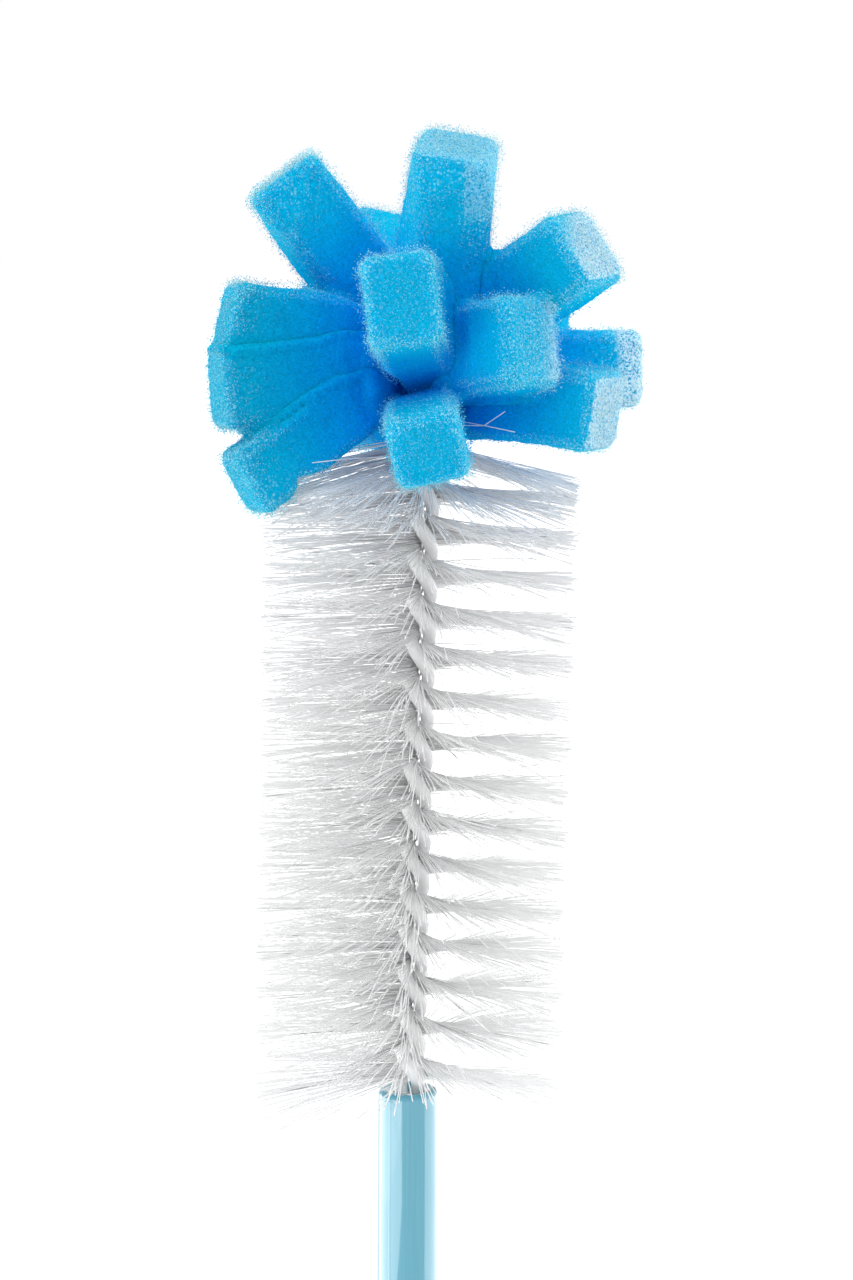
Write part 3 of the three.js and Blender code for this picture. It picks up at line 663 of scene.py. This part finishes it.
crownLength, crownTilt = bristles["crown"]
skirtLength, skirtTilt = bristles["skirt"]
sectionNames = sorted(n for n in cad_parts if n.startswith("bristle_section"))
sectionLength = (bristles["top"] - bristles["bottom"]) / len(sectionNames)
for index, nodeName in enumerate(sectionNames):
    draw = random.Random(bristles["seed"] + index)
    curve = newCurve(nodeName, bristles["filamentRadius"], bristles["roundness"])
    clumps = {}
    for _ in range(bristles["perSection"]):
        for side in (0, math.pi):
            height = bristles["bottom"] + sectionLength * (index + draw.random())
            clumpKey = (side, int(height / bristles["clump"]))
            clumpTilt = clumps.setdefault(clumpKey, draw.gauss(0, bristles["clumpSpread"]))
            azimuth = twistAt(height) + side + math.radians(draw.gauss(0, bristles["azimuthSpread"]))
            stray = bristles["strayFactor"] if draw.random() < bristles["strays"] else 1
            crown = smoothStep(height, bristles["top"] - crownLength, bristles["top"]) * crownTilt
            skirt = 1 - smoothStep(height, bristles["bottom"], bristles["bottom"] + skirtLength)
            lift = draw.gauss(0, bristles["tiltSpread"] * stray) + clumpTilt - skirt * skirtTilt - crown
            sag = draw.expovariate(1 / bristles["sag"])
            cutRadius = bristles["radius"] - bristles["offCentre"] * math.cos(azimuth)
            reach = cutRadius + draw.gauss(0, bristles["trim"])
            bow = math.radians(draw.gauss(0, bristles["bow"]))
            places = []
            for share in bristles["stops"]:
                slope = math.tan(math.radians(lift)) - math.tan(math.radians(sag)) * share
                places.append(stemPoint(reach * share, azimuth + bow * share * share,
                                        height + reach * share * slope))
            addStrand(curve, places)
    for stations in bristles["hooked"] if nodeName == sectionNames[-1] else []:
        addStrand(curve, [stemPoint(reach, math.radians(azimuth), height)
                          for reach, azimuth, height in stations])
    piece = flatten(newObject(nodeName.replace("bristle_section", "bristles"), curve))
    finishPiece(piece, nylonMaterial, "nylon", nodeName)
print("bristles made")


# Wire: steel dipped in soft vinyl, satin white with faint runs, bent to a hairpin and twisted
wire = {
    "whites": ((0.35, "#f1f4f5"), (0.6, "#fafbfc")),  # the steel shows through where the coat is thin
    "runs": 1.6,  # mm
    "ripple": 0.04,
    "gloss": (0.3, 0.45),
}
vinylMaterial, tree, output = newMaterial("dippedVinyl")
coordinates = addNode(tree, "ShaderNodeTexCoord")
runs = addNode(tree, "ShaderNodeTexNoise", {"Scale": 1 / (wire["runs"] * mm), "Detail": 2.0},
               {"Vector": coordinates.outputs["Object"]})
vinylColour = addNode(tree, "ShaderNodeValToRGB", links={"Fac": runs.outputs["Fac"]})
setRamp(vinylColour, *wire["whites"])
dulled = addNode(tree, "ShaderNodeMapRange",
                 {"From Min": noiseLow, "From Max": noiseHigh,
                  "To Min": wire["gloss"][0], "To Max": wire["gloss"][1]}, {"Value": runs.outputs["Fac"]})
ripple = addNode(tree, "ShaderNodeBump", {"Strength": 0.6, "Distance": wire["ripple"] * mm},
                 {"Height": runs.outputs["Fac"]})
shader = addNode(tree, "ShaderNodeBsdfPrincipled",
                 {"IOR": 1.52, "Subsurface Weight": 1.0, "Subsurface Radius": (1.0, 1.0, 1.0),
                  "Subsurface Scale": 1.2 * mm},
                 {"Base Color": vinylColour.outputs["Color"], "Roughness": dulled.outputs["Result"],
                  "Normal": ripple.outputs["Normal"]})
tree.links.new(shader.outputs["BSDF"], output.inputs["Surface"])

curve = newCurve("wire", stem["strandRadius"], stem["roundness"])
bendHeight = stem["easeStart"] + stem["ease"]
steps = int((bendHeight - stem["tail"]) / stem["pitch"] * stem["stepsPerTurn"])
leg = []
for k in range(steps + 1):
    height = stem["tail"] + (bendHeight - stem["tail"]) * k / steps
    widen = smoothStep(height, stem["loopStart"] - stem["flare"], stem["loopStart"])
    radius = stem["pairRadius"] + (stem["loopRadius"] - stem["pairRadius"]) * widen
    leg.append((radius, twistAt(height) + math.pi / 2, height))
path = [stemPoint(*station) for station in leg]
for k in range(1, stem["bendSteps"]):
    angle = math.pi * k / stem["bendSteps"]
    path.append(stemPoint(stem["loopRadius"] * math.cos(angle), leg[-1][1],
                          bendHeight + stem["loopRadius"] * math.sin(angle)))
path += [stemPoint(-radius, azimuth, height) for radius, azimuth, height in reversed(leg)]
addStrand(curve, path)
piece = flatten(newObject("coatedWire", curve))
finishPiece(piece, vinylMaterial, "wire_vinyl", "wire_coating", "wire_steel_core")
print("wire made")


# Handle and end plug: injection-moulded polypropylene, which gives a high gloss and faint flow streaks
handle = {
    "plugHead": 13.0,  # mm
    "edge": 1.5,
    "gap": 0.3,
    "length": 126.7,
    "endRadius": 6.3,
    "rimRadius": 5.05,
    "rimFillet": 0.9,
    "wall": 1.8,
    "socketRadius": 3.17,
    "socketDepth": 20.0,
    "web": 3.0,
    "spigot": 14.0,
    "spigotTaper": 0.2,
    "hole": 6.4,
    "holeLength": 20.0,
    "holeSegments": 64,
    "segments": 192,
    "arcSteps": 6,
    "weld": 0.001,
    "partingLines": (-126.0, 54.0),  # degrees, where the halves of the mould met
    "partingHeight": 0.1,
    "flow": (0.4, 25.0),  # across and along the handle
    "gloss": (0.1, 0.15),
    "blues": ((0.35, "#50a3ba"), (0.65, "#56a7be")),  # between the streaks and in them
}
plasticMaterial, tree, output = newMaterial("mouldedPolypropylene")
coordinates = addNode(tree, "ShaderNodeTexCoord")
across, along = (1 / (width * mm) for width in handle["flow"])
stretched = addNode(tree, "ShaderNodeMapping", {"Scale": (across, across, along)},
                    {"Vector": coordinates.outputs["Object"]})
streaks = addNode(tree, "ShaderNodeTexNoise", {"Scale": 1.0, "Detail": 3.0},
                  {"Vector": stretched.outputs["Vector"]})
plasticColour = addNode(tree, "ShaderNodeValToRGB", links={"Fac": streaks.outputs["Fac"]})
setRamp(plasticColour, *handle["blues"])
dulled = addNode(tree, "ShaderNodeMapRange",
                 {"From Min": noiseLow, "From Max": noiseHigh,
                  "To Min": handle["gloss"][0], "To Max": handle["gloss"][1]},
                 {"Value": streaks.outputs["Fac"]})
shader = addNode(tree, "ShaderNodeBsdfPrincipled",
                 {"IOR": 1.5, "Coat Weight": 1.0, "Coat IOR": 1.5, "Coat Roughness": 0.05},
                 {"Base Color": plasticColour.outputs["Color"], "Roughness": dulled.outputs["Result"]})
tree.links.new(shader.outputs["BSDF"], output.inputs["Surface"])


# Turns a profile of radius and height about the Z axis
def spun(name, profile):
    bm = bmesh.new()
    verts = [bm.verts.new((radius * mm, 0, height * mm)) for radius, height in profile]
    edges = [bm.edges.new(pair) for pair in zip(verts, verts[1:])]
    bmesh.ops.spin(bm, geom=verts + edges, axis=(0, 0, 1), cent=(0, 0, 0), angle=math.tau,
                   steps=handle["segments"], use_merge=True)
    bmesh.ops.remove_doubles(bm, verts=bm.verts, dist=handle["weld"] * mm)
    bmesh.ops.recalc_face_normals(bm, faces=bm.faces)
    return newObject(name, meshFrom(bm, name))


# Points of a rounded corner, between two angles in degrees
def arc(radius, middle, low, high):
    count = handle["arcSteps"]
    angles = [math.radians(low + (high - low) * k / count) for k in range(count + 1)]
    return [(middle[0] + radius * math.cos(a), middle[1] + radius * math.sin(a)) for a in angles]


base = handle["plugHead"] + handle["gap"]
rim = base + handle["length"]
socketFloor = rim - handle["socketDepth"]
fillet = handle["rimFillet"]
innerTop = socketFloor - handle["web"]
taper = (handle["endRadius"] - handle["rimRadius"]) / handle["length"]
profile = [(0, innerTop), (handle["rimRadius"] + taper * (rim - innerTop) - handle["wall"], innerTop),
           (handle["endRadius"] - handle["wall"], base), (handle["endRadius"], base)]
profile += arc(fillet, (handle["rimRadius"] - fillet, rim - fillet), 0, 90)
profile += [(handle["socketRadius"], rim), (handle["socketRadius"], socketFloor), (0, socketFloor)]
piece = spun("handleTube", profile)
partings = [Vector((math.cos(math.radians(a)), math.sin(math.radians(a)))) for a in handle["partingLines"]]
for vertex in piece.data.vertices:
    x, y, _ = vertex.co
    off = min(Vector((x, y)).angle(parting, math.pi) for parting in partings)
    if off < math.pi / handle["segments"] and math.hypot(x, y) > (handle["rimRadius"] - fillet) * mm:
        vertex.co += Vector((x, y, 0)).normalized() * handle["partingHeight"] * mm
finishPiece(piece, plasticMaterial, "handle_plastic", "handle")

edge = handle["edge"]
headTop = handle["plugHead"]
plugTop = headTop + handle["spigot"]
spigotRadius = handle["endRadius"] - handle["wall"] - handle["gap"]
profile = [(0, 0)] + arc(edge, (handle["endRadius"] - edge, edge), -90, 0)
profile += [(handle["endRadius"], headTop), (spigotRadius, headTop),
            (spigotRadius - handle["spigotTaper"], plugTop), (0, plugTop)]
piece = spun("endPlug", profile)
holeRadius = handle["hole"] / 2 * mm
holePlace = Matrix.Translation((0, 0, headTop / 2 * mm)) @ Matrix.Rotation(math.pi / 2, 4, "X")
bm = bmesh.new()
bmesh.ops.create_cone(bm, cap_ends=True, segments=handle["holeSegments"], radius1=holeRadius,
                      radius2=holeRadius, depth=handle["holeLength"] * mm, matrix=holePlace)
cutter = newObject("holeCutter", meshFrom(bm, "holeCutter"))
hole = piece.modifiers.new("hole", "BOOLEAN")
hole.operation = "DIFFERENCE"
hole.object = cutter
piece = flatten(piece)
bpy.data.objects.remove(cutter)
finishPiece(piece, plasticMaterial, "handle_plastic", "handle_end_plug")
print("handle made")


# Studio: white surroundings, a pale painted floor, soft boxes on both sides and above
studio = {
    "white": "#ffffff",
    "world": 0.8,
    "floorColour": "#f2f2f2",
    "floorSize": 6000.0,  # mm
    "glow": (0.2, 0.85),  # of the floor, under the brush and far off
    "glowReach": (150, 900),
    "boxes": [
        {"name": "leftBox", "place": (-300, -210, 150), "facing": (1, 0, 0),
         "size": (1000, 300), "light": 1.0},
        {"name": "rightBox", "place": (300, 220, 250), "facing": (-1, 0, 0),
         "size": (690, 280), "light": 1.4},
        {"name": "topBox", "place": (0, -200, 780), "facing": (0, 0.25, -1),
         "size": (600, 500), "light": 1.2},
    ],
    "cards": [  # strips beside the handle, which light nothing and only show in its gloss
        {"name": "leftCard", "place": (-110, -77, 70), "facing": (1, 0, 0),
         "size": (370, 140), "light": 2.4},
        {"name": "rightCard", "place": (110, 78, 70), "facing": (-1, 0, 0),
         "size": (260, 140), "light": 1.8},
    ],
}


# Is 1 for rays that show the background: to the camera, or by way of gloss or glass
def backgroundRays(tree):
    rays = addNode(tree, "ShaderNodeLightPath")
    mirrored = addNode(tree, "ShaderNodeMath",
                       links={0: rays.outputs["Is Glossy Ray"], 1: rays.outputs["Is Transmission Ray"]},
                       operation="MAXIMUM")
    either = addNode(tree, "ShaderNodeMath",
                     links={0: rays.outputs["Is Camera Ray"], 1: mirrored.outputs["Value"]},
                     operation="MAXIMUM")
    return either.outputs["Value"]


world = bpy.data.worlds.new("studio")
scene.world = world
world.use_nodes = True
tree = world.node_tree
tree.nodes.clear()
lit = addNode(tree, "ShaderNodeBackground", {"Color": linear(studio["white"]), "Strength": studio["world"]})
white = addNode(tree, "ShaderNodeBackground", {"Color": linear(studio["white"]), "Strength": 1.0})
mixed = addNode(tree, "ShaderNodeMixShader",
                links={0: backgroundRays(tree), 1: lit.outputs["Background"], 2: white.outputs["Background"]})
addNode(tree, "ShaderNodeOutputWorld", links={"Surface": mixed.outputs["Shader"]})

# Matt paint that keeps the shadow, and glows up to white for what shows the background
floorMaterial, tree, output = newMaterial("paintedFloor")
paint = addNode(tree, "ShaderNodeBsdfDiffuse", {"Color": linear(studio["floorColour"])})
coordinates = addNode(tree, "ShaderNodeTexCoord")
away = addNode(tree, "ShaderNodeVectorMath", links={0: coordinates.outputs["Object"]}, operation="LENGTH")
glow = addNode(tree, "ShaderNodeMapRange",
               {"From Min": studio["glowReach"][0] * mm, "From Max": studio["glowReach"][1] * mm,
                "To Min": studio["glow"][0], "To Max": studio["glow"][1]}, {"Value": away.outputs["Value"]})
shownGlow = addNode(tree, "ShaderNodeMath", links={0: backgroundRays(tree), 1: glow.outputs["Result"]},
                    operation="MULTIPLY")
seen = addNode(tree, "ShaderNodeEmission", {"Color": linear(studio["white"])},
               {"Strength": shownGlow.outputs["Value"]})
added = addNode(tree, "ShaderNodeAddShader", links={0: paint.outputs["BSDF"], 1: seen.outputs["Emission"]})
tree.links.new(added.outputs["Shader"], output.inputs["Surface"])
bm = bmesh.new()
bmesh.ops.create_grid(bm, x_segments=1, y_segments=1, size=studio["floorSize"] * mm)
floorObject = newObject("floor", meshFrom(bm, "floor"))
floorObject.data.materials.append(floorMaterial)

for box in studio["boxes"] + studio["cards"]:
    lamp = bpy.data.lights.new(box["name"], "AREA")
    lamp.shape = "RECTANGLE"
    lamp.size, lamp.size_y = (side * mm for side in box["size"])
    lamp.energy = box["light"] * math.pi * lamp.size * lamp.size_y
    lampObject = newObject(box["name"], lamp)
    lampObject.location = Vector(box["place"]) * mm
    lampObject.rotation_euler = Vector(box["facing"]).to_track_quat("-Z", "Y").to_euler()
    lampObject.visible_camera = False
    lampObject.visible_diffuse = box in studio["boxes"]
print("studio set")
